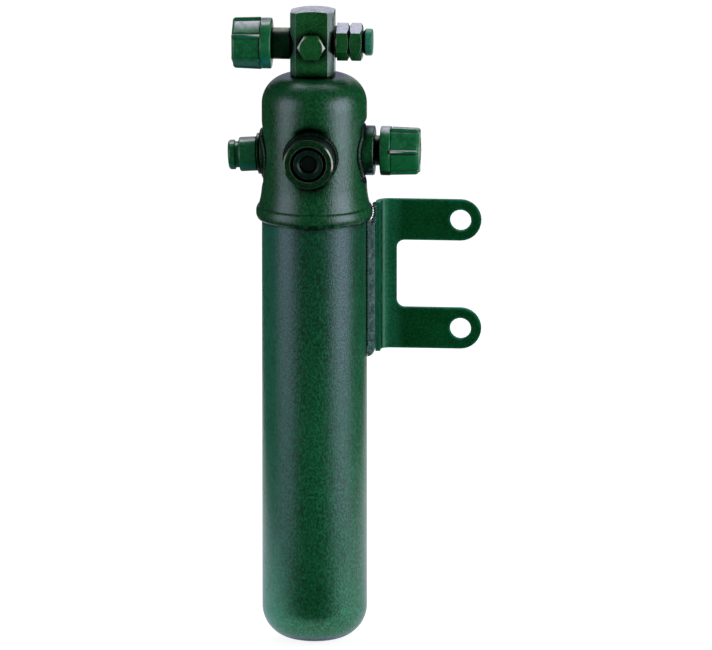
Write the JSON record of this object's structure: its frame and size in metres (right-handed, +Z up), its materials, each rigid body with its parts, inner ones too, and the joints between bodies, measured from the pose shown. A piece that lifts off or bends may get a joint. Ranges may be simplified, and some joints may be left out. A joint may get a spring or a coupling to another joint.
{
  "type": "air conditioning drier",
  "caption": "Upright receiver drier: domed steel can with a bell head, sight glass, capped side ports, a top connection block and a two-eared side bracket",
  "frame": {"origin": "on the bracket's flat rear face, in the web beside the gap between the ears, midway in height between the two bolt holes", "axes": "+Z up along the can, +X from the can towards the bracket's ears, +Y out of the bracket's rear face, away from the sight glass. The can's axis is at x = -0.0452, y = -0.0118 and its lowest point at z = -0.2129"},
  "size_m": [0.144, 0.0777, 0.3687],
  "materials": {
    "body_paint": "dark satin coat with a faint grain",
    "block_finish": "dark satin coat over machined metal",
    "bracket_paint": "dark satin coat on sheet",
    "cap_plastic": "moulded, lightly glossy",
    "sight_glass": "dark glass over a closed bore",
    "seal_rubber": "matt",
    "washer_metal": "dull",
    "plain_steel": "plain",
    "core_metal": "cast soft metal",
    "filter_felt": "needled felt",
    "desiccant_beads": "packed round beads"
  },
  "bodies": {
    "root": {"canister": "body_paint", "head": "body_paint", "top_block": "block_finish", "outlet_stub": "block_finish", "outlet_cap": "cap_plastic", "block_plug": "block_finish", "plug_washer": "washer_metal", "relief_fitting": "block_finish", "relief_washer": "washer_metal", "relief_nut": "block_finish", "relief_cap": "block_finish", "fusible_core": "core_metal", "sight_boss": "body_paint", "sight_body": "body_paint", "sight_ring": "body_paint", "sight_lens": "sight_glass", "sight_seal": "seal_rubber", "inlet_boss": "body_paint", "inlet_stub": "body_paint", "inlet_cap": "cap_plastic", "switch_boss": "body_paint", "switch_port": "body_paint", "switch_cap": "cap_plastic", "switch_seal": "seal_rubber", "standoff_bar": "body_paint", "bracket": "bracket_paint", "pickup_tube": "plain_steel", "tube_strainer": "plain_steel", "lower_plate": "plain_steel", "lower_pad": "filter_felt", "desiccant_bed": "desiccant_beads", "upper_pad": "filter_felt", "upper_plate": "plain_steel", "hold_down_spring": "plain_steel"}
  },
  "joints": []
}
